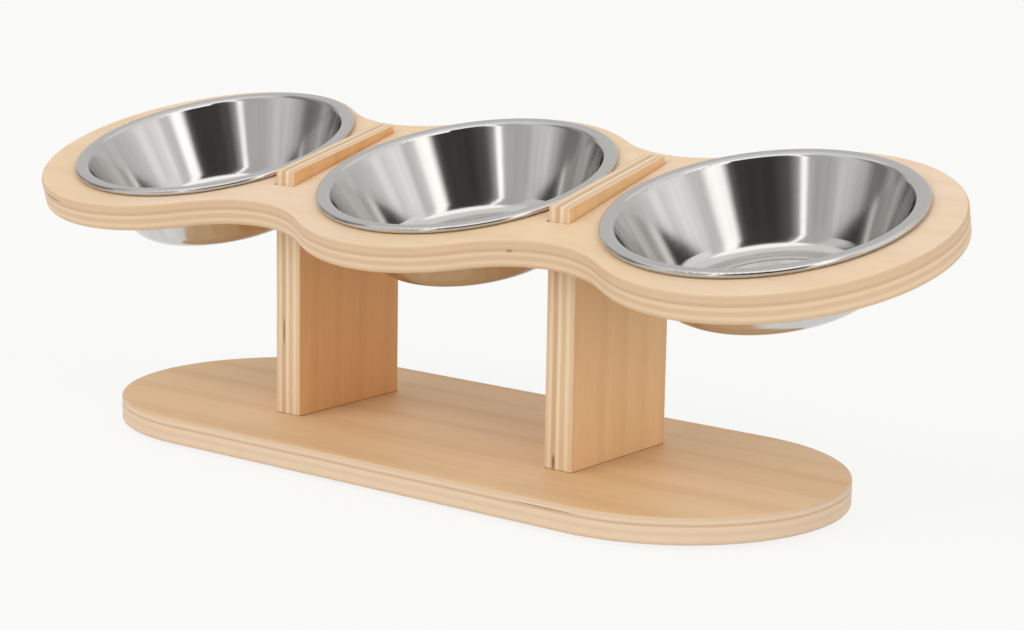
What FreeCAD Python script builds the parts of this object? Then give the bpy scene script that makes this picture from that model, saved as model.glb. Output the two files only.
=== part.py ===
import FreeCAD, Part
import math
import os

# Raised feeding stand for cats: an oblong plywood foot, two plywood uprights, a tilted plywood
# board with three round openings, and three steel bowls that hang in them by their rims.
# Millimetres. +X runs along the row of bowls, the low front edge faces -Y, +Z is up.
# The origin is on the floor, under the middle of the whole stand.

V = FreeCAD.Vector
UP = V(0, 0, 1)

# Base board
base_length = 390.0
base_width = 160.0
base_thick = 12.0
base_edge = 1.2           # rounding of the long edges of the foot board

# Foot pads under the base
pad_radius = 6.0
pad_thick = 2.0
pad_edge = 0.5
pad_x = 150.0
pad_y = 42.0

# Top board, seen square on: a row of three equal lobes with hollow necks between them
bowl_count = 3
bowl_pitch = 160.0        # from one bowl to the next
lobe_radius = 80.0
neck_radius = 64.0        # hollow curve between two lobes
end_stretch = 7.5         # the end lobes are centred this far beyond the outer bowls
board_thick = 13.0
board_edge = 1.4          # rounding of the outline's edges
tilt = 15.0               # the front edge is the low one
board_height = 132.0      # top face above the floor, at the board's mid line
board_back = -5.0         # the board's mid line lies this far behind the base's mid line
bowl_back = 3.0           # the bowls' row lies this far behind the board's mid line, along the board
hole_clear = 0.8          # radial play of the bowl's neck in its opening
hole_edge = 0.8

# Uprights, one under each neck
upright_thick = 15.0
upright_depth = 72.0
shoulder = 4.0            # step that carries the top board, on one face of each upright
tongue_front = 6.6        # how far the tongue stands out of the top board at its front end
tongue_back = 3.5         # and at its back end, since its top leans less than the board
upright_edge = 0.6
slot_clear = 0.3          # play at the shoulder's side and at both ends of the slot
slot_play = 1.2           # play on the plain side of the slot

# Screws from below into the uprights
screw_radius = 2.0
screw_length = 40.0
screw_head_radius = 4.0
screw_land = 0.4          # straight edge of the head
screw_cone = 2.0          # height of the head's cone
screw_sunk = 0.5          # the head lies this far inside the base
screw_fit = 0.05          # radial play round shank and head
screw_spacing = 44.0      # between the two screws of one upright
screw_square = 3.0        # width of the square driver recess
screw_recess = 1.6
screw_tip = 3.0

# Bowls, pressed from thin steel sheet
sheet = 0.8
rim_radius = 70.0
bead_radius = 1.3         # rolled outer edge of the rim
bead_turn = 250.0         # how far round the edge is rolled, in degrees
rim_seat = 0.3            # space under the bead
lip_radius = 64.4         # where the flat of the rim meets the wall
lip_round = 1.8
floor_radius = 47.0       # where wall and floor would meet without the rounding
floor_round = 10.0
bowl_depth = 36.7         # from the board's top face to the underside of the bowl
floor_dish = 0.5          # hollow pressed up into the floor
dish_radius = 36.0
dish_round = 3.0

# Worked out from the sizes above
tilt_rad = math.radians(tilt)
slope = math.tan(tilt_rad)
tongue_thick = upright_thick - shoulder
base_top = pad_thick + base_thick
upright_x = [(i + 0.5 - (bowl_count - 1) / 2) * bowl_pitch for i in range(bowl_count - 1)]
bowl_x = [(i - (bowl_count - 1) / 2) * bowl_pitch for i in range(bowl_count)]
screw_y = [-screw_spacing / 2, screw_spacing / 2]
screw_seat = pad_thick + screw_sunk
flange_top = rim_seat + 2 * bead_radius
lobe_x = [bowl_x[0] - end_stretch] + bowl_x[1:-1] + [bowl_x[-1] + end_stretch]
hole_radius = lip_radius + hole_clear
board_place = FreeCAD.Placement(V(0, board_back, board_height), FreeCAD.Rotation(V(1, 0, 0), tilt))

# The origin lies midway between the stand's foremost and hindmost points
board_reach = (lobe_radius - board_edge) * math.cos(tilt_rad) + board_edge
board_front = board_reach - board_edge * math.sin(tilt_rad) - board_back
board_rear = board_reach + (board_thick - board_edge) * math.sin(tilt_rad) + board_back
front_reach = max(board_front, base_width / 2)
rear_reach = max(board_rear, base_width / 2)
to_origin = V(0, (front_reach - rear_reach) / 2, 0)


def polar(centre, radius, degrees):
    """Point at a distance and an angle from centre, in the XY plane."""
    a = math.radians(degrees)
    return centre + V(radius * math.cos(a), radius * math.sin(a), 0)


def arc(centre, radius, start, end):
    """Arc round centre from one angle to another, in degrees."""
    points = [polar(centre, radius, a) for a in (start, (start + end) / 2, end)]
    return Part.Arc(*points).toShape()


def slab(wire, bottom, thick):
    """A flat board from its outline."""
    face = Part.Face(wire)
    face.translate(V(0, 0, bottom))
    return face.extrude(V(0, 0, thick))


def edges_at_level(shape, level):
    """Edges that lie flat at one height."""
    near = 1e-4
    boxes = [(edge, edge.BoundBox) for edge in shape.Edges]
    return [edge for edge, box in boxes if abs(box.ZMin - level) < near and abs(box.ZMax - level) < near]


def on_board(shape):
    """Takes a shape from the board's own frame, top face at zero, to where the board lies."""
    placed = shape.copy()
    placed.Placement = board_place.multiply(placed.Placement)
    return placed


def board_level(y, below=0.0):
    """Height of the board's top face at y, or of a plane parallel to it and below it."""
    return board_height + (y - board_back) * slope - below / math.cos(tilt_rad)


def stadium(length, width):
    """Outline with straight sides and half-round ends."""
    r = width / 2
    c = length / 2 - r
    right = arc(V(c, 0, 0), r, -90, 90)
    left = arc(V(-c, 0, 0), r, 90, 270)
    top = Part.makeLine(V(c, r, 0), V(-c, r, 0))
    bottom = Part.makeLine(V(-c, -r, 0), V(c, -r, 0))
    return Part.Wire([right, top, left, bottom])


def neck_between(left, right):
    """Centre of the hollow arc between two lobes, and the angle at which it meets them."""
    reach = lobe_radius + neck_radius
    half_gap = (right - left) / 2
    centre = V((left + right) / 2, math.sqrt(reach ** 2 - half_gap ** 2), 0)
    return centre, math.degrees(math.acos(half_gap / reach))


def lobed_outline():
    """Row of equal lobes joined by hollow arcs that run into them smoothly."""
    necks = [neck_between(a, b) for a, b in zip(lobe_x, lobe_x[1:])]
    turns = [turn for _, turn in necks]
    front = []
    back = []
    for i, (centre, turn) in enumerate(necks):
        front.append(arc(V(centre.x, -centre.y, 0), neck_radius, 180 - turn, turn))
        back.append(arc(centre, neck_radius, turn - 180, -turn))
        if i + 1 < len(necks):
            lobe = V(lobe_x[i + 1], 0, 0)
            front.append(arc(lobe, lobe_radius, turn - 180, -turns[i + 1]))
            back.append(arc(lobe, lobe_radius, 180 - turn, turns[i + 1]))
    right = arc(V(lobe_x[-1], 0, 0), lobe_radius, turns[-1] - 180, 180 - turns[-1])
    left = arc(V(lobe_x[0], 0, 0), lobe_radius, turns[0], 360 - turns[0])
    return Part.Wire(front + [right] + back[::-1] + [left])


def screw_body(play):
    """Countersunk head, shank and point, turned as one, and larger all round by the play."""
    land = screw_seat + screw_land
    end = screw_seat + screw_length
    outline = [V(0, 0, screw_seat - play), V(screw_head_radius + play, 0, screw_seat - play),
               V(screw_head_radius + play, 0, land), V(screw_radius + play, 0, land + screw_cone),
               V(screw_radius + play, 0, end - screw_tip), V(0, 0, end + play)]
    face = Part.Face(Part.makePolygon(outline + outline[:1]))
    return face.revolve(V(0, 0, 0), UP, 360)


def base_screw(x, y):
    """Screw, head down, with a square driver recess."""
    corner = V(-screw_square / 2, -screw_square / 2, screw_seat)
    screw = screw_body(0).cut(Part.makeBox(screw_square, screw_square, screw_recess, corner))
    screw.translate(V(x, y, 0))
    return screw


def screw_room(x, y):
    """What a screw takes out of the boards, down to the underside of the base."""
    mouth = Part.makeCylinder(screw_head_radius + screw_fit, screw_sunk, V(0, 0, pad_thick))
    room = screw_body(screw_fit).fuse(mouth)
    room.translate(V(x, y, 0))
    return room


def base_board():
    """Oblong foot with eased edges and sunk holes for the screws."""
    board = slab(stadium(base_length, base_width), pad_thick, base_thick)
    board = board.makeFillet(base_edge, edges_at_level(board, base_top) + edges_at_level(board, pad_thick))
    for x in upright_x:
        for y in screw_y:
            board = board.cut(screw_room(x, y))
    return board


def foot_pad(x, y):
    """Round pad under the base."""
    pad = Part.makeCylinder(pad_radius, pad_thick)
    pad = pad.makeFillet(pad_edge, edges_at_level(pad, 0))
    pad.translate(V(x, y, 0))
    return pad


def between_levels(bottom_front, bottom_back, thick):
    """Board on edge, as deep as an upright, from two bottom heights up to the tongue's top."""
    half = upright_depth / 2
    side = [V(0, -half, bottom_front), V(0, half, bottom_back), V(0, half, board_level(half, -tongue_back)),
            V(0, -half, board_level(-half, -tongue_front))]
    return Part.Face(Part.makePolygon(side + side[:1])).extrude(V(thick, 0, 0))


def eased_edges(body):
    """The upright's standing corners and the edges of the tongue's top."""
    half = upright_depth / 2
    chosen = []
    for edge in body.Edges:
        a, b = [v.Point for v in edge.Vertexes]
        standing = abs(a.x - b.x) < 1e-6 and abs(a.y - b.y) < 1e-6 and abs(abs(a.y) - half) < 1e-6
        top = all(p.z > board_level(p.y) for p in (a, b))
        if standing or top:
            chosen.append(edge)
    return chosen


def upright(x):
    """Board on edge with a sloping top and a stepped tongue through the top board."""
    half = upright_depth / 2
    body = between_levels(base_top, base_top, upright_thick)
    step = between_levels(board_level(-half, board_thick), board_level(half, board_thick), shoulder)
    step.translate(V(tongue_thick, 0, 0))
    body = body.cut(step)
    body = body.makeFillet(upright_edge, eased_edges(body))
    body.translate(V(x - upright_thick / 2, 0, 0))
    for y in screw_y:
        body = body.cut(screw_room(x, y))
    return body


def tongue_slot(x):
    """Plumb-sided opening that lets the tongue through the tilted board."""
    left = x - upright_thick / 2 - slot_play
    width = tongue_thick + slot_play + slot_clear
    depth = upright_depth + 2 * slot_clear
    return Part.makeBox(width, depth, 2 * board_height, V(left, -depth / 2, 0))


def top_board():
    """Tilted board with a round opening for each bowl and a slot for each tongue."""
    board = slab(lobed_outline(), -board_thick, board_thick)
    board = board.makeFillet(board_edge, edges_at_level(board, 0) + edges_at_level(board, -board_thick))
    for x in bowl_x:
        hole = Part.makeCylinder(hole_radius, board_thick, V(x, bowl_back, -board_thick))
        mouth = Part.makeCone(hole_radius, hole_radius + hole_edge, hole_edge, V(x, bowl_back, -hole_edge))
        board = board.cut(hole.fuse(mouth))
    board = on_board(board)
    for x in upright_x:
        board = board.cut(tongue_slot(x))
    return board


def rounded_path(points, radii):
    """Open path of straight runs, with a tangent arc of the given radius at each inner point."""
    edges = []
    start = points[0]
    for i in range(1, len(points) - 1):
        here = points[i]
        back = (points[i - 1] - here).normalize()
        ahead = (points[i + 1] - here).normalize()
        half = back.getAngle(ahead) / 2
        reach = radii[i - 1] / math.tan(half)
        a = here + back * reach
        b = here + ahead * reach
        middle = (back + ahead).normalize()
        m = here + middle * (radii[i - 1] / math.sin(half) - radii[i - 1])
        edges.append(Part.makeLine(start, a))
        edges.append(Part.Arc(a, m, b).toShape())
        start = b
    edges.append(Part.makeLine(start, points[-1]))
    return edges


def offset_points(points, distance):
    """The path's points moved to its left by a distance."""
    moved = []
    for i, here in enumerate(points):
        runs = []
        if i > 0:
            runs.append((here - points[i - 1]).normalize())
        if i < len(points) - 1:
            runs.append((points[i + 1] - here).normalize())
        normals = [V(-r.y, r.x, 0) for r in runs]
        share = 1 + normals[0].dot(normals[-1])
        moved.append(here + (normals[0] + normals[-1]) * (distance / share))
    return moved


def bowl_section():
    """The sheet's section, in the XY plane: X is the radius and Y the height over the board."""
    bead = V(rim_radius - bead_radius, rim_seat + bead_radius, 0)
    floor = -bowl_depth
    outside = [V(0, floor + floor_dish, 0), V(dish_radius - dish_round, floor + floor_dish, 0),
               V(dish_radius, floor, 0), V(floor_radius, floor, 0),
               V(lip_radius, flange_top - sheet, 0), V(bead.x, flange_top - sheet, 0)]
    outside_round = [dish_round + sheet, dish_round, floor_round, lip_round]
    inside = offset_points(outside, sheet)
    inside_round = [dish_round, dish_round + sheet, floor_round - sheet, lip_round + sheet]
    end = 90 - bead_turn
    edges = rounded_path(outside, outside_round)
    edges.append(arc(bead, bead_radius - sheet, 90, end))
    edges.append(Part.makeLine(polar(bead, bead_radius - sheet, end), polar(bead, bead_radius, end)))
    edges.append(arc(bead, bead_radius, end, 90))
    edges += reversed(rounded_path(inside, inside_round))
    edges.append(Part.makeLine(inside[0], outside[0]))
    return Part.Face(Part.Wire(edges))


def bowl(x):
    """Bowl turned from its section, hanging in the board."""
    section = bowl_section()
    section.rotate(V(0, 0, 0), V(1, 0, 0), 90)
    solid = section.revolve(V(0, 0, 0), UP, 360)
    solid.translate(V(x, bowl_back, 0))
    return on_board(solid)


def export(name, *solids):
    """Writes one node, moved to the frame's origin."""
    shape = solids[0] if len(solids) == 1 else Part.makeCompound(list(solids))
    shape = shape.copy()
    shape.translate(to_origin)
    for solid in shape.Solids:
        assert solid.isValid() and solid.Volume > 0, name
    shape.exportStep(os.path.join("parts", name + ".step"))
    print(name, len(shape.Solids), round(shape.Volume, 1), shape.BoundBox)


def side_names(count):
    """Names for a row, from -X to +X."""
    if count == 1:
        return ["middle"]
    if count == 2:
        return ["left", "right"]
    if count == 3:
        return ["left", "middle", "right"]
    return [str(i + 1) for i in range(count)]


def main():
    os.makedirs("parts", exist_ok=True)
    export("base_board", base_board())
    export("top_board", top_board())
    for side, x in zip(side_names(len(upright_x)), upright_x):
        export("upright_" + side, upright(x))
        export("base_screws_" + side, *[base_screw(x, y) for y in screw_y])
    for side, x in zip(side_names(bowl_count), bowl_x):
        export("bowl_" + side, bowl(x))
    for depth, y in (("front", -pad_y), ("back", pad_y)):
        for side, x in (("left", -pad_x), ("right", pad_x)):
            export("foot_pad_" + depth + "_" + side, foot_pad(x, y))


main()
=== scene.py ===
"""Dresses and lights an elevated stand that holds three cat bowls.

The stand is birch plywood: a long foot, two boards on edge and a lobed top
board that leans towards the cat. Three pressed stainless bowls hang in it by
their rims. Lengths are in metres in the part's own frame, +Z up, unless a
name ends in mm.
"""

import logging
import math
from dataclasses import dataclass, field
from enum import Enum
from typing import Any

import bpy
from mathutils import Matrix, Vector


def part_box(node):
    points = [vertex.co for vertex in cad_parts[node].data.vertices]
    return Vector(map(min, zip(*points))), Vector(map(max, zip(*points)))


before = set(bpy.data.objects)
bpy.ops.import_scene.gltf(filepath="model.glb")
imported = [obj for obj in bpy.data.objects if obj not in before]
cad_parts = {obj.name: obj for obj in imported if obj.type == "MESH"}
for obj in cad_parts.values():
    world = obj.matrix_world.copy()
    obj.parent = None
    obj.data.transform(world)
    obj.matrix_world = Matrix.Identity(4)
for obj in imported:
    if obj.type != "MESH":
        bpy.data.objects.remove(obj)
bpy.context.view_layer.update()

MM = 0.001
LOG = logging.getLogger("bowl_stand")

Socket = bpy.types.NodeSocket
Tree = bpy.types.NodeTree
Colour = tuple[float, float, float, float]
Triple = tuple[float, float, float]


def linear(hex_colour: str) -> Colour:
    """Turns an sRGB hex colour into Blender's linear one.

    Args:
        hex_colour: six hex digits with a leading #.

    Returns:
        Red, green, blue and an alpha of 1.
    """
    channels = [int(hex_colour[at:at + 2], 16) / 255 for at in (1, 3, 5)]
    turned = [c / 12.92 if c <= 0.04045 else ((c + 0.055) / 1.055) ** 2.4 for c in channels]
    return (turned[0], turned[1], turned[2], 1.0)


def add_node(tree: Tree, kind: str, inputs: dict[Any, Any] | None = None,
             **settings: Any) -> bpy.types.Node:
    """Adds one shader node, sets it and links it.

    Args:
        tree: the node tree that gets it.
        kind: the node's type, such as ShaderNodeMath.
        inputs: a value or an output socket for each input, by name or number.
        settings: the node's own properties.

    Returns:
        The new node.
    """
    made = tree.nodes.new(kind)
    for name, value in settings.items():
        setattr(made, name, value)
    for name, value in (inputs or {}).items():
        if isinstance(value, bpy.types.NodeSocket):
            tree.links.new(value, made.inputs[name])
        else:
            made.inputs[name].default_value = value
    return made


def new_material(name: str) -> tuple[bpy.types.Material, Tree, bpy.types.Node]:
    """Makes an empty node material.

    Args:
        name: the real material's name.

    Returns:
        The material, its node tree and its output node.
    """
    material = bpy.data.materials.new(name)
    material.use_nodes = True
    tree = material.node_tree
    tree.nodes.clear()
    return material, tree, add_node(tree, "ShaderNodeOutputMaterial")


def set_ramp(ramp: bpy.types.ColorRamp, stops: list[tuple[float, float]]) -> None:
    """Gives a ramp its grey stops.

    Args:
        ramp: the ramp.
        stops: position and value of each stop, in order.
    """
    while len(ramp.elements) > 1:
        ramp.elements.remove(ramp.elements[-1])
    ramp.elements[0].position = stops[0][0]
    ramp.elements[0].color = (stops[0][1],) * 3 + (1.0,)
    for position, value in stops[1:]:
        ramp.elements.new(position).color = (value,) * 3 + (1.0,)


def dress(node: str, material: bpy.types.Material) -> None:
    """Gives one CAD node its finish, in every slot that it has.

    Args:
        node: the CAD node's name.
        material: the finish.
    """
    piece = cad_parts[node]
    if not piece.material_slots:
        piece.data.materials.append(material)
    for slot in piece.material_slots:
        slot.material = material
    LOG.info("%s is finished in %s", node, material.name)


class Through(Enum):
    """Which way a board's thickness runs."""

    UP = "up"
    SIDEWAYS = "sideways"


@dataclass(frozen=True)
class Veneer:
    """One layer of plywood.

    Args:
        thick_mm: its thickness.
        tone: from 0, dark ends of fibres, to 1, pale long grain.
    """

    thick_mm: float
    tone: float


@dataclass(frozen=True)
class Void:
    """A gap in an inner veneer, seen as a dark fleck on a cut edge.

    Args:
        at: its middle along the grain, across it and through the board.
        half_mm: half its size that way.
        depth: how dark it is, up to 1.
    """

    at: Triple
    half_mm: Triple
    depth: float = 0.85


@dataclass(frozen=True)
class Board:
    """Where a plywood board lies, and the veneers that it is glued up from.

    Args:
        name: the board's own name.
        through: which way its thickness runs.
        origin: a point on its lower, or +X, face.
        tilt: its lean about +X, in radians.
        veneers: the veneers from that face on.
        seed: shifts the grain, so that no two boards match.
        voids: the gaps that show on its edges.
    """

    name: str
    through: Through
    origin: Triple
    tilt: float
    veneers: tuple[Veneer, ...]
    seed: float
    voids: tuple[Void, ...] = ()

    @property
    def turn(self) -> Triple:
        """The Euler angles that take the board's grain, width and thickness to the frame's axes."""
        return (self.tilt, 0.0, 0.0) if self.through is Through.UP else (0.0, -math.pi / 2, 0.0)

    @property
    def thickness_mm(self) -> float:
        """All the veneers together."""
        return sum(veneer.thick_mm for veneer in self.veneers)


@dataclass(frozen=True)
class BirchPly:
    """Birch plywood: rotary-cut veneer, sanded and sealed with a matt oil.

    The eye sees a pale, even face with a faint long figure, and on the cut
    edges soft stripes, since every second veneer shows its darker fibre ends.
    """

    face: str = "#EBD1B4"
    figure: str = "#DDBE9A"
    patch: str = "#E9CBA5"
    pale_edge: str = "#E1C5A3"
    dark_edge: str = "#CBA987"
    gap: str = "#6B4526"
    figure_mm: float = 11.0
    fibre_mm: float = 0.7
    pore_mm: float = 0.45
    patch_mm: float = 90.0
    figure_share: float = 0.22
    pore_share: float = 0.06
    roughness: float = 0.5
    bump_mm: float = 0.015

    def material(self, board: Board) -> bpy.types.Material:
        """Builds the finish in one board's own directions.

        Args:
            board: the board that it covers.

        Returns:
            The material.
        """
        material, tree, out = new_material(f"birch_plywood_{board.name}")
        place = add_node(tree, "ShaderNodeTexCoord")
        at = add_node(tree, "ShaderNodeMapping", {
            "Vector": place.outputs["Object"], "Location": board.origin, "Rotation": board.turn,
        }, vector_type="TEXTURE").outputs["Vector"]
        facing = add_node(tree, "ShaderNodeMapping", {
            "Vector": place.outputs["Normal"], "Rotation": board.turn,
        }, vector_type="TEXTURE").outputs["Vector"]
        fibre = self._streaks(tree, board, at, self.fibre_mm, 40, 4.0)
        face = self._face(tree, board, at, fibre)
        edge = self._edge(tree, board, at)
        on_face = add_node(tree, "ShaderNodeMapRange", {
            "Value": add_node(tree, "ShaderNodeMath", {
                0: add_node(tree, "ShaderNodeSeparateXYZ", {"Vector": facing}).outputs["Z"],
            }, operation="ABSOLUTE").outputs[0],
            "From Min": 0.7, "From Max": 0.95,
        }, interpolation_type="SMOOTHSTEP").outputs["Result"]
        colour = add_node(tree, "ShaderNodeMix", {
            "Factor": on_face, "A": edge, "B": face,
        }, data_type="RGBA").outputs["Result"]
        colour = self._voids(tree, board, at, colour)
        bump = add_node(tree, "ShaderNodeBump", {
            "Height": fibre, "Distance": self.bump_mm * MM, "Strength": 0.5,
        })
        rough = add_node(tree, "ShaderNodeMapRange", {
            "Value": fibre, "To Min": self.roughness - 0.05, "To Max": self.roughness + 0.07,
        })
        surface = add_node(tree, "ShaderNodeBsdfPrincipled", {
            "Base Color": colour, "Roughness": rough.outputs["Result"], "IOR": 1.5,
            "Specular IOR Level": 0.3, "Normal": bump.outputs["Normal"],
        })
        tree.links.new(surface.outputs["BSDF"], out.inputs["Surface"])
        return material

    @staticmethod
    def _streaks(tree: Tree, board: Board, at: Socket, width_mm: float, stretch: float,
                 detail: float) -> Socket:
        """Draws noise that is drawn out along the grain.

        Args:
            tree: the node tree.
            board: the board, for its seed.
            at: the point in the board's directions.
            width_mm: a streak's width.
            stretch: its length in widths.
            detail: how fine its edges are.

        Returns:
            A value about 0.5.
        """
        drawn = add_node(tree, "ShaderNodeMapping", {
            "Vector": at, "Location": (board.seed, board.seed * 0.7, board.seed * 0.3),
            "Scale": (1 / (width_mm * stretch * MM), 1 / (width_mm * MM), 1 / (width_mm * MM)),
        })
        return add_node(tree, "ShaderNodeTexNoise", {
            "Vector": drawn.outputs["Vector"], "Scale": 1.0, "Detail": detail, "Distortion": 0.3,
        }).outputs["Fac"]

    def _face(self, tree: Tree, board: Board, at: Socket, fibre: Socket) -> Socket:
        """Colours the board's two faces.

        Args:
            tree: the node tree.
            board: the board.
            at: the point in the board's directions.
            fibre: the fine streaks.

        Returns:
            The colour.
        """
        patch = add_node(tree, "ShaderNodeTexNoise", {
            "Vector": at, "Scale": 1 / (self.patch_mm * MM), "Detail": 1.0,
        }).outputs["Fac"]
        ground = add_node(tree, "ShaderNodeMix", {
            "Factor": add_node(tree, "ShaderNodeMapRange", {
                "Value": patch, "From Min": 0.35, "From Max": 0.65,
            }).outputs["Result"], "A": linear(self.face), "B": linear(self.patch),
        }, data_type="RGBA").outputs["Result"]
        wander = add_node(tree, "ShaderNodeMapping", {
            "Vector": at, "Location": (board.seed, board.seed, board.seed),
            "Scale": (1 / (self.figure_mm * 9 * MM), 1 / (self.figure_mm * MM), 1 / (self.figure_mm * MM)),
        }).outputs["Vector"]
        rings = add_node(tree, "ShaderNodeTexWave", {
            "Vector": wander, "Scale": 0.16, "Distortion": 9.0, "Detail": 2.5, "Detail Scale": 0.6,
            "Detail Roughness": 0.45,
        }, bands_direction="Y").outputs["Fac"]
        soft = self._streaks(tree, board, at, self.figure_mm, 14, 3.0)
        drift = add_node(tree, "ShaderNodeMapRange", {
            "Value": soft, "From Min": 0.4, "From Max": 0.7, "To Max": self.figure_share,
        }, interpolation_type="SMOOTHSTEP").outputs["Result"]
        lines = add_node(tree, "ShaderNodeMapRange", {
            "Value": rings, "From Min": 0.55, "From Max": 1.0, "To Max": self.figure_share,
        }, interpolation_type="SMOOTHSTEP").outputs["Result"]
        drawn = add_node(tree, "ShaderNodeMath", {0: drift, 1: lines}, operation="ADD").outputs[0]
        figured = add_node(tree, "ShaderNodeMix", {
            "Factor": drawn, "A": ground, "B": linear(self.figure),
        }, data_type="RGBA").outputs["Result"]
        pore = self._streaks(tree, board, at, self.pore_mm, 30, 1.0)
        shade = add_node(tree, "ShaderNodeMath", {
            0: add_node(tree, "ShaderNodeMapRange", {
                "Value": fibre, "From Min": 0.3, "From Max": 0.7, "To Min": 0.97, "To Max": 1.02,
            }).outputs["Result"],
            1: add_node(tree, "ShaderNodeMapRange", {
                "Value": pore, "From Min": 0.62, "From Max": 0.76, "To Min": 1.0, "To Max": 1 - self.pore_share,
            }).outputs["Result"],
        }, operation="MULTIPLY").outputs[0]
        return add_node(tree, "ShaderNodeMix", {
            "Factor": 1.0, "A": figured, "B": shade,
        }, data_type="RGBA", blend_type="MULTIPLY").outputs["Result"]

    def _edge(self, tree: Tree, board: Board, at: Socket) -> Socket:
        """Colours the cut edges, veneer by veneer.

        Args:
            tree: the node tree.
            board: the board.
            at: the point in the board's directions.

        Returns:
            The colour.
        """
        depth = add_node(tree, "ShaderNodeSeparateXYZ", {"Vector": at}).outputs["Z"]
        wave = add_node(tree, "ShaderNodeTexNoise", {
            "Vector": at, "Scale": 1 / (55 * MM), "Detail": 2.0,
        }).outputs["Fac"]
        centred = add_node(tree, "ShaderNodeMath", {0: wave, 1: 0.5}, operation="SUBTRACT").outputs[0]
        shifted = add_node(tree, "ShaderNodeMath", {
            0: centred, 1: 0.9 * MM, 2: depth,
        }, operation="MULTIPLY_ADD").outputs[0]
        share = add_node(tree, "ShaderNodeMath", {
            0: shifted, 1: 1 / (board.thickness_mm * MM),
        }, operation="MULTIPLY").outputs[0]
        ramp = add_node(tree, "ShaderNodeValToRGB", {"Fac": share})
        set_ramp(ramp.color_ramp, self._stops(board))
        sawn = add_node(tree, "ShaderNodeMapping", {
            "Vector": at, "Location": (board.seed,) * 3,
            "Scale": (1 / (9 * MM), 1 / (9 * MM), 1 / (0.35 * MM)),
        })
        grit = add_node(tree, "ShaderNodeTexNoise", {
            "Vector": sawn.outputs["Vector"], "Scale": 1.0, "Detail": 3.0,
        }).outputs["Fac"]
        tone = add_node(tree, "ShaderNodeMath", {
            0: add_node(tree, "ShaderNodeMath", {0: grit, 1: 0.5}, operation="SUBTRACT").outputs[0],
            1: 0.55, 2: ramp.outputs["Color"],
        }, operation="MULTIPLY_ADD", use_clamp=True).outputs[0]
        return add_node(tree, "ShaderNodeMix", {
            "Factor": tone, "A": linear(self.dark_edge), "B": linear(self.pale_edge),
        }, data_type="RGBA").outputs["Result"]

    @staticmethod
    def _stops(board: Board) -> list[tuple[float, float]]:
        """Works out the ramp's stops from the veneers.

        Args:
            board: the board.

        Returns:
            Position and tone of each stop, with a soft step between two veneers.
        """
        soft_mm = 0.3
        stops = []
        run = 0.0
        for veneer in board.veneers:
            for place in (run + soft_mm, run + veneer.thick_mm - soft_mm):
                stops.append((place / board.thickness_mm, veneer.tone))
            run += veneer.thick_mm
        return stops

    def _voids(self, tree: Tree, board: Board, at: Socket, colour: Socket) -> Socket:
        """Lays the board's gaps over its colour.

        Args:
            tree: the node tree.
            board: the board.
            at: the point in the board's directions.
            colour: the colour so far.

        Returns:
            The colour with the gaps.
        """
        for void in board.voids:
            away = add_node(tree, "ShaderNodeVectorMath", {0: at}, operation="SUBTRACT")
            away.inputs[1].default_value = void.at
            scaled = add_node(tree, "ShaderNodeVectorMath", {0: away.outputs["Vector"]}, operation="MULTIPLY")
            scaled.inputs[1].default_value = [1 / (half * MM) for half in void.half_mm]
            reach = add_node(tree, "ShaderNodeVectorMath", {0: scaled.outputs["Vector"]}, operation="LENGTH")
            inside = add_node(tree, "ShaderNodeMapRange", {
                "Value": reach.outputs["Value"], "From Min": 0.55, "From Max": 1.0,
                "To Min": void.depth, "To Max": 0.0,
            }, interpolation_type="SMOOTHSTEP")
            colour = add_node(tree, "ShaderNodeMix", {
                "Factor": inside.outputs["Result"], "A": colour, "B": linear(self.gap),
            }, data_type="RGBA").outputs["Result"]
        return colour


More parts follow.
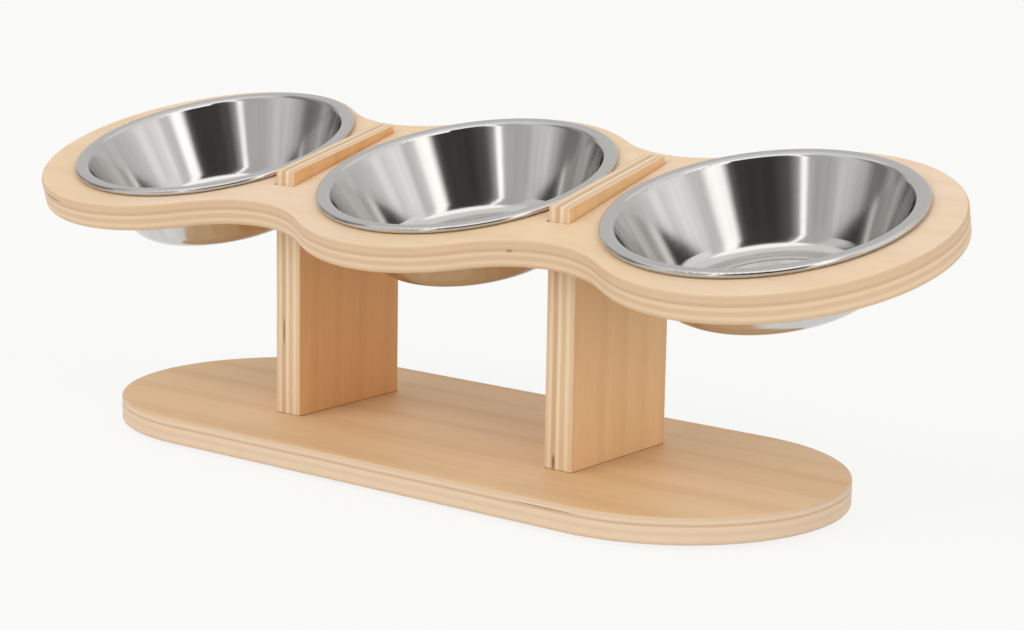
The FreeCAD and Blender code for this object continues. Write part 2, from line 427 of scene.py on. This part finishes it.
@dataclass(frozen=True)
class SpunSteel:
    """Stainless steel sheet, pressed into a bowl and polished on a lathe.

    Fine rings round the bowl's axis draw each reflection out from rim to
    floor, so the eye sees upright light and dark bands on the wall. Its colour
    also carries painted reflections: paler and darker streaks round the wall
    that stand in for those bands.
    """

    # pale and dark give the steel's tone, and the two ends of the painted reflection streaks on the wall.
    pale: str = "#D6D4D2"
    dark: str = "#C5C3C1"
    roughness: float = 0.13
    anisotropic: float = 0.8
    ring_mm: float = 0.6
    painted_reflection_round: float = 9.0
    wall_radius_mm: float = 56.5
    ripple_mm: float = 0.004

    def material(self, name: str, centre: Vector, axis: Vector) -> bpy.types.Material:
        """Builds the finish about one bowl's axis.

        Args:
            name: the bowl's name.
            centre: a point on its axis.
            axis: the axis.

        Returns:
            The material.
        """
        material, tree, out = new_material(f"stainless_steel_{name}")
        place = add_node(tree, "ShaderNodeTexCoord")
        away = add_node(tree, "ShaderNodeVectorMath", {0: place.outputs["Object"]}, operation="SUBTRACT")
        away.inputs[1].default_value = centre
        round_it = add_node(tree, "ShaderNodeVectorMath", {1: away.outputs["Vector"]}, operation="CROSS_PRODUCT")
        round_it.inputs[0].default_value = axis
        tangent = add_node(tree, "ShaderNodeVectorTransform", {
            "Vector": round_it.outputs["Vector"],
        }, vector_type="VECTOR", convert_from="OBJECT", convert_to="WORLD")
        radius = add_node(tree, "ShaderNodeVectorMath", {0: round_it.outputs["Vector"]}, operation="LENGTH")
        height = add_node(tree, "ShaderNodeVectorMath", {1: away.outputs["Vector"]}, operation="DOT_PRODUCT")
        height.inputs[0].default_value = axis
        rings_at = add_node(tree, "ShaderNodeCombineXYZ", {
            "X": radius.outputs["Value"], "Y": height.outputs["Value"],
        })
        rings = add_node(tree, "ShaderNodeTexNoise", {
            "Vector": rings_at.outputs["Vector"], "Scale": 1 / (self.ring_mm * MM), "Detail": 2.0,
        })
        ripple = add_node(tree, "ShaderNodeTexNoise", {
            "Vector": away.outputs["Vector"], "Scale": 1 / (14 * MM), "Detail": 1.0,
        })
        bump = add_node(tree, "ShaderNodeBump", {
            "Height": ripple.outputs["Fac"], "Distance": self.ripple_mm * MM, "Strength": 1.0,
        })
        rough = add_node(tree, "ShaderNodeMapRange", {
            "Value": rings.outputs["Fac"], "To Min": self.roughness - 0.03, "To Max": self.roughness + 0.03,
        })
        around = add_node(tree, "ShaderNodeVectorMath", {0: round_it.outputs["Vector"]}, operation="NORMALIZE")
        # Painted reflection: paler and darker streaks round the wall stand in for the studio's reflections,
        # fading to an even tone off the wall.
        streaks = add_node(tree, "ShaderNodeTexNoise", {
            "Vector": around.outputs["Vector"], "Scale": self.painted_reflection_round, "Detail": 2.0,
        })
        off_wall = add_node(tree, "ShaderNodeMath", {
            0: add_node(tree, "ShaderNodeMath", {
                0: radius.outputs["Value"], 1: self.wall_radius_mm * MM,
            }, operation="SUBTRACT").outputs[0],
        }, operation="ABSOLUTE")
        painted_reflection_on_wall = add_node(tree, "ShaderNodeMapRange", {
            "Value": off_wall.outputs[0], "From Min": 5 * MM, "From Max": 7.5 * MM, "To Min": 1.0, "To Max": 0.0,
        })
        centred = add_node(tree, "ShaderNodeMapRange", {
            "Value": streaks.outputs["Fac"], "From Min": 0.35, "From Max": 0.65, "To Min": -0.5, "To Max": 0.5,
        })
        share = add_node(tree, "ShaderNodeMath", {
            0: centred.outputs["Result"], 1: painted_reflection_on_wall.outputs["Result"], 2: 0.5,
        }, operation="MULTIPLY_ADD")
        colour = add_node(tree, "ShaderNodeMix", {
            "Factor": share.outputs[0], "A": linear(self.dark), "B": linear(self.pale),
        }, data_type="RGBA")
        surface = add_node(tree, "ShaderNodeBsdfPrincipled", {
            "Base Color": colour.outputs["Result"], "Metallic": 1.0, "Roughness": rough.outputs["Result"],
            "Anisotropic": self.anisotropic, "Anisotropic Rotation": 0.25,
            "Tangent": tangent.outputs["Vector"], "Normal": bump.outputs["Normal"],
        })
        tree.links.new(surface.outputs["BSDF"], out.inputs["Surface"])
        return material


@dataclass(frozen=True)
class ZincPlate:
    """Zinc-plated screw steel: dull grey with a faint mottle from the bath."""

    colour: str = "#A9ABAD"
    dark: str = "#8C8E90"
    mottle_mm: float = 1.5
    roughness: float = 0.38

    def material(self) -> bpy.types.Material:
        """Builds the finish of the screws."""
        material, tree, out = new_material("zinc_plated_steel")
        place = add_node(tree, "ShaderNodeTexCoord")
        mottle = add_node(tree, "ShaderNodeTexNoise", {
            "Vector": place.outputs["Object"], "Scale": 1 / (self.mottle_mm * MM), "Detail": 3.0,
        })
        colour = add_node(tree, "ShaderNodeMix", {
            "Factor": mottle.outputs["Fac"], "A": linear(self.colour), "B": linear(self.dark),
        }, data_type="RGBA")
        rough = add_node(tree, "ShaderNodeMapRange", {
            "Value": mottle.outputs["Fac"], "To Min": self.roughness - 0.08, "To Max": self.roughness + 0.1,
        })
        surface = add_node(tree, "ShaderNodeBsdfPrincipled", {
            "Base Color": colour.outputs["Result"], "Metallic": 1.0, "Roughness": rough.outputs["Result"],
        })
        tree.links.new(surface.outputs["BSDF"], out.inputs["Surface"])
        return material


@dataclass(frozen=True)
class PadRubber:
    """Moulded rubber foot pad: near black, matt, with a fine pebbled skin."""

    colour: str = "#2B2B2C"
    worn: str = "#3B3B3C"
    pebble_mm: float = 0.5
    roughness: float = 0.78

    def material(self) -> bpy.types.Material:
        """Builds the finish of the foot pads."""
        material, tree, out = new_material("moulded_rubber")
        place = add_node(tree, "ShaderNodeTexCoord")
        pebble = add_node(tree, "ShaderNodeTexNoise", {
            "Vector": place.outputs["Object"], "Scale": 1 / (self.pebble_mm * MM), "Detail": 2.0,
        })
        colour = add_node(tree, "ShaderNodeMix", {
            "Factor": pebble.outputs["Fac"], "A": linear(self.colour), "B": linear(self.worn),
        }, data_type="RGBA")
        bump = add_node(tree, "ShaderNodeBump", {
            "Height": pebble.outputs["Fac"], "Distance": 0.05 * MM, "Strength": 0.5,
        })
        surface = add_node(tree, "ShaderNodeBsdfPrincipled", {
            "Base Color": colour.outputs["Result"], "Roughness": self.roughness,
            "Normal": bump.outputs["Normal"],
        })
        tree.links.new(surface.outputs["BSDF"], out.inputs["Surface"])
        return material


@dataclass
class Foot:
    """The long base board with its screws and anti-slip pads."""

    veneers: tuple[Veneer, ...] = (
        Veneer(1.6, 0.6), Veneer(2.3, 0.9), Veneer(1.9, 0.65), Veneer(2.1, 0.95), Veneer(1.1, 0.0),
        Veneer(1.7, 0.9), Veneer(1.3, 0.5),
    )
    wood: BirchPly = field(default_factory=lambda: BirchPly(
        face="#E8C497", figure="#D9AC78", patch="#E6C192", pale_edge="#DFC6AA", dark_edge="#CBAB8A",
        figure_mm=17.0, figure_share=0.32))
    voids: tuple[Void, ...] = (Void((0.105, -0.08, 0.0092), (22.0, 6.0, 0.35), 0.6),)
    screw: ZincPlate = field(default_factory=ZincPlate)
    rubber: PadRubber = field(default_factory=PadRubber)

    def build(self) -> None:
        """Dresses the base board, the screws and the pads."""
        low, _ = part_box("base_board")
        board = Board("base", Through.UP, (0.0, 0.0, low.z), 0.0, self.veneers, 3.1, self.voids)
        dress("base_board", self.wood.material(board))
        zinc = self.screw.material()
        for side in ("left", "right"):
            dress(f"base_screws_{side}", zinc)
        rubber = self.rubber.material()
        for corner in ("front_left", "front_right", "back_left", "back_right"):
            dress(f"foot_pad_{corner}", rubber)


@dataclass
class Uprights:
    """The two boards on edge that carry the top board."""

    veneers: tuple[Veneer, ...] = (
        Veneer(2.3, 0.55), Veneer(2.1, 0.9), Veneer(1.4, 0.45), Veneer(1.3, 0.45), Veneer(1.8, 1.0),
        Veneer(2.6, 0.15), Veneer(1.9, 0.85), Veneer(1.6, 0.5),
    )
    # The left upright's face, figure and patch are a deeper orange than the right's: painted shade and orange
    # bounce light from the space between the two uprights, over the same birch.
    woods_and_painted_shade: dict[str, BirchPly] = field(default_factory=lambda: {
        "left": BirchPly(face="#E9B276", figure="#D69C60", patch="#E8B47C", pale_edge="#E9D1AE",
                         dark_edge="#C7A480", pore_share=0.14),
        "right": BirchPly(face="#EEC592", figure="#DDAE78", patch="#ECC28E", pale_edge="#E9D1AE",
                          dark_edge="#C7A480", pore_share=0.12),
    })
    # A thin dark line round each upright's foot, where it meets the base: the glue joint, darkened with painted
    # contact shadow.
    joint_shadow_line_mm: Triple = (0.55, 300.0, 300.0)
    gap_of: dict[str, Void] = field(default_factory=lambda: {
        "left": Void((0.054, -0.036, 0.0099), (9.0, 3.0, 0.55)),
        "right": Void((0.0175, -0.036, 0.0098), (4.5, 3.0, 1.1), 0.7),
    })

    def build(self) -> None:
        """Dresses both uprights, each with the gap at the foot of its front edge, and a dark line of painted
        contact shadow along the joint at its foot.
        """
        for side, seed in (("left", 5.7), ("right", 8.9)):
            name = f"upright_{side}"
            low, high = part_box(name)
            # The second void is not a gap in the wood: it is the painted contact shadow at the upright's foot.
            board = Board(name, Through.SIDEWAYS, (high.x, 0.0, 0.0), 0.0, self.veneers, seed,
                          (self.gap_of[side], Void((low.z, 0.0, 0.0075), self.joint_shadow_line_mm, 0.6)))
            dress(name, self.woods_and_painted_shade[side].material(board))


@dataclass
class TopBoard:
    """The lobed board that leans towards the cat and holds the bowls."""

    tilt: float = math.radians(15)
    lower_face: Triple = (0.0, -0.000655, 0.119443)
    veneers: tuple[Veneer, ...] = (
        Veneer(2.0, 0.45), Veneer(1.7, 0.95), Veneer(2.3, 0.45), Veneer(1.7, 1.0), Veneer(1.6, 0.1),
        Veneer(2.1, 0.5), Veneer(1.6, 0.35),
    )
    voids: tuple[Void, ...] = (
        Void((-0.198, -0.0735, 0.0101), (14.0, 9.0, 0.45)), Void((0.0675, -0.0553, 0.0079), (2.0, 4.0, 0.9), 0.5),
    )
    wood: BirchPly = field(default_factory=BirchPly)

    def build(self) -> None:
        """Dresses the top board."""
        board = Board("top", Through.UP, self.lower_face, self.tilt, self.veneers, 1.3, self.voids)
        dress("top_board", self.wood.material(board))


@dataclass
class Bowls:
    """The three pressed bowls."""

    tilt: float = math.radians(15)
    axis_at: tuple[float, float] = (-0.00112, 0.13278)
    steel: SpunSteel = field(default_factory=SpunSteel)

    def build(self) -> None:
        """Dresses each bowl about its own axis."""
        axis = Vector((0.0, -math.sin(self.tilt), math.cos(self.tilt)))
        for side in ("left", "middle", "right"):
            low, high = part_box(f"bowl_{side}")
            centre = Vector(((low.x + high.x) / 2, *self.axis_at))
            dress(f"bowl_{side}", self.steel.material(side, centre, axis))


@dataclass
class Studio:
    """Pale floor, soft lights, a sweep of cards for the steel, and the camera."""

    camera_at: Triple = (0.7037, -0.8836, 0.2903)
    yaw: float = math.radians(37.46)
    pitch: float = math.radians(11.13)
    roll: float = math.radians(1.005)
    focal_px: float = 2479.0
    width_px: int = 1024
    backdrop: str = "#FAFAF8"
    floor_half: float = 8.0
    shadow_share: float = 0.1
    sweep_radius: float = 1.05
    sweep_top: float = 1.3
    sweep_peak: float = 2.0
    sweep: tuple[tuple[float, float], ...] = (
        (-180, 0.72), (-110, 0.7), (-95, 0.3), (-84, 0.5), (-75, 0.25), (-62, 0.25), (-52, 0.6), (-42, 0.85),
        (-28, 0.82), (-20, 0.62), (-6, 0.6), (1, 0.64), (2.5, 1.75), (6, 1.75), (8, 0.5), (16, 0.12), (28, 0.055),
        (53, 0.055), (59, 0.12), (64.5, 1.7), (73, 1.7), (79, 0.85), (87, 0.8), (93, 1.12), (125, 1.05),
        (140, 0.8), (180, 0.72),
    )

    def build(self) -> None:
        """Sets up everything that isn't the object."""
        self._camera()
        self._world()
        self._floor()
        self._lights()
        self._sweep()
        self._overhead()
        bpy.context.scene.view_settings.view_transform = "Standard"

    def _camera(self) -> None:
        """Puts the camera where the photograph was taken from."""
        data = bpy.data.cameras.new("camera")
        data.sensor_width = 36.0
        data.lens = self.focal_px * 36.0 / self.width_px
        data.clip_start, data.clip_end = 0.01, 100.0
        camera = bpy.data.objects.new("camera", data)
        bpy.context.scene.collection.objects.link(camera)
        back = Vector((math.sin(self.yaw) * math.cos(self.pitch),
                       -math.cos(self.yaw) * math.cos(self.pitch), math.sin(self.pitch)))
        right = (-back).cross(Vector((0, 0, 1))).normalized()
        up = right.cross(-back)
        turned_right = math.cos(self.roll) * right + math.sin(self.roll) * up
        turned_up = math.cos(self.roll) * up - math.sin(self.roll) * right
        turn = Matrix((turned_right, turned_up, back)).transposed()
        camera.matrix_world = Matrix.Translation(self.camera_at) @ turn.to_4x4()
        bpy.context.scene.camera = camera

    def _world(self) -> None:
        """Shows white behind everything, and lights softly from all round."""
        world = bpy.data.worlds.new("studio")
        world.use_nodes = True
        tree = world.node_tree
        tree.nodes.clear()
        ray = add_node(tree, "ShaderNodeLightPath")
        seen = add_node(tree, "ShaderNodeMath", {
            0: ray.outputs["Is Camera Ray"], 1: ray.outputs["Is Glossy Ray"],
        }, operation="MAXIMUM")
        seen = add_node(tree, "ShaderNodeMath", {
            0: seen.outputs[0], 1: ray.outputs["Is Transmission Ray"],
        }, operation="MAXIMUM")
        soft = add_node(tree, "ShaderNodeBackground", {"Color": linear("#F6F7FA"), "Strength": 0.38})
        white = add_node(tree, "ShaderNodeBackground", {"Color": linear(self.backdrop), "Strength": 1.0})
        mix = add_node(tree, "ShaderNodeMixShader", {
            "Fac": seen.outputs[0], 1: soft.outputs["Background"], 2: white.outputs["Background"],
        })
        out = add_node(tree, "ShaderNodeOutputWorld")
        tree.links.new(mix.outputs["Shader"], out.inputs["Surface"])
        bpy.context.scene.world = world

    @staticmethod
    def _stage_piece(name: str, corners: list[Triple], faces: list[tuple[int, ...]],
                     material: bpy.types.Material) -> bpy.types.Object:
        """Adds one piece of the studio.

        Args:
            name: its name.
            corners: its corners.
            faces: its faces.
            material: its finish.

        Returns:
            The object.
        """
        mesh = bpy.data.meshes.new(name)
        mesh.from_pydata(corners, [], faces)
        mesh.materials.append(material)
        piece = bpy.data.objects.new(name, mesh)
        bpy.context.scene.collection.objects.link(piece)
        return piece

    @staticmethod
    def _only_in_steel(piece: bpy.types.Object) -> None:
        """Hides a card from all but reflections."""
        piece.visible_camera = False
        piece.visible_diffuse = False
        piece.visible_shadow = False
        piece.visible_transmission = False

    def _floor(self) -> None:
        """Lays a pale floor that keeps the object's shadow."""
        material, tree, out = new_material("pale_floor")
        ray = add_node(tree, "ShaderNodeLightPath")
        matt = add_node(tree, "ShaderNodeBsdfDiffuse", {"Color": linear("#FAFAF8")})
        lit = add_node(tree, "ShaderNodeEmission", {"Color": linear(self.backdrop), "Strength": 1.0})
        seen = add_node(tree, "ShaderNodeMath", {
            0: ray.outputs["Is Camera Ray"], 1: ray.outputs["Is Glossy Ray"],
        }, operation="MAXIMUM")
        part = add_node(tree, "ShaderNodeMath", {
            0: seen.outputs[0], 1: 1 - self.shadow_share,
        }, operation="MULTIPLY")
        mix = add_node(tree, "ShaderNodeMixShader", {
            "Fac": part.outputs[0], 1: matt.outputs["BSDF"], 2: lit.outputs["Emission"],
        })
        tree.links.new(mix.outputs["Shader"], out.inputs["Surface"])
        r = self.floor_half
        self._stage_piece("floor", [(-r, -r, 0), (r, -r, 0), (r, r, 0), (-r, r, 0)], [(0, 1, 2, 3)], material)

    def _lights(self) -> None:
        """Lights the stand softly from all sides, most from the front left."""
        for name, toward, strength, spread in (
            ("front_left_light", (-0.35, -0.75, 0.56), 1.5, 60),
            ("top_light", (0.0, 0.05, 1.0), 0.3, 80),
            ("right_light", (0.88, -0.2, 0.42), 1.25, 60),
            ("back_light", (-0.45, 0.8, 0.4), 0.8, 60),
        ):
            data = bpy.data.lights.new(name, "SUN")
            data.energy = strength
            data.angle = math.radians(spread)
            light = bpy.data.objects.new(name, data)
            bpy.context.scene.collection.objects.link(light)
            light.rotation_mode = "QUATERNION"
            light.rotation_quaternion = Vector(toward).to_track_quat("Z", "Y")
            light.visible_glossy = False

    def _sweep(self) -> None:
        """Stands a ring of dark and bright cards round the stand, for the steel to show."""
        material, tree, out = new_material("card_sweep")
        place = add_node(tree, "ShaderNodeTexCoord")
        parts = add_node(tree, "ShaderNodeSeparateXYZ", {"Vector": place.outputs["Object"]})
        front = add_node(tree, "ShaderNodeMath", {0: parts.outputs["Y"], 1: -1.0}, operation="MULTIPLY")
        angle = add_node(tree, "ShaderNodeMath", {
            0: parts.outputs["X"], 1: front.outputs[0],
        }, operation="ARCTAN2")
        share = add_node(tree, "ShaderNodeMath", {
            0: angle.outputs[0], 1: 1 / (2 * math.pi), 2: 0.5,
        }, operation="MULTIPLY_ADD")
        ramp = add_node(tree, "ShaderNodeValToRGB", {"Fac": share.outputs[0]})
        set_ramp(ramp.color_ramp, [(turn / 360 + 0.5, level / self.sweep_peak) for turn, level in self.sweep])
        level = add_node(tree, "ShaderNodeMath", {
            0: ramp.outputs["Color"], 1: self.sweep_peak,
        }, operation="MULTIPLY")
        lit = add_node(tree, "ShaderNodeEmission", {"Color": linear("#FCFBFA"), "Strength": level.outputs[0]})
        tree.links.new(lit.outputs["Emission"], out.inputs["Surface"])
        count = 96
        corners: list[Triple] = []
        for i in range(count):
            turn = 2 * math.pi * i / count
            for z in (0.001, self.sweep_top):
                corners.append((self.sweep_radius * math.sin(turn), -self.sweep_radius * math.cos(turn), z))
        faces = [(2 * i, 2 * i + 1, (2 * i + 3) % (2 * count), (2 * i + 2) % (2 * count)) for i in range(count)]
        self._only_in_steel(self._stage_piece("card_sweep", corners, faces, material))

    def _overhead(self) -> None:
        """Hangs a bright card above, which draws the thin light line along each rim."""
        material, tree, out = new_material("overhead_card")
        lit = add_node(tree, "ShaderNodeEmission", {"Color": linear("#FCFBFA"), "Strength": 1.6})
        tree.links.new(lit.outputs["Emission"], out.inputs["Surface"])
        half, near, far, height = 0.9, 0.4, 1.1, 1.6
        side = (math.cos(self.yaw), math.sin(self.yaw))
        ahead = (math.sin(self.yaw), -math.cos(self.yaw))
        corners = [(x * side[0] + r * ahead[0], x * side[1] + r * ahead[1], height)
                   for x, r in ((-half, near), (-half, far), (half, far), (half, near))]
        self._only_in_steel(self._stage_piece("overhead_card", corners, [(0, 1, 2, 3)], material))


def main() -> None:
    """Dresses every piece of the stand and sets up the studio."""
    for part in (Foot(), Uprights(), TopBoard(), Bowls(), Studio()):
        part.build()
        LOG.info("%s is done", type(part).__name__)


if __name__ == "__main__":
    logging.basicConfig(level=logging.INFO, format="%(message)s")
    main()
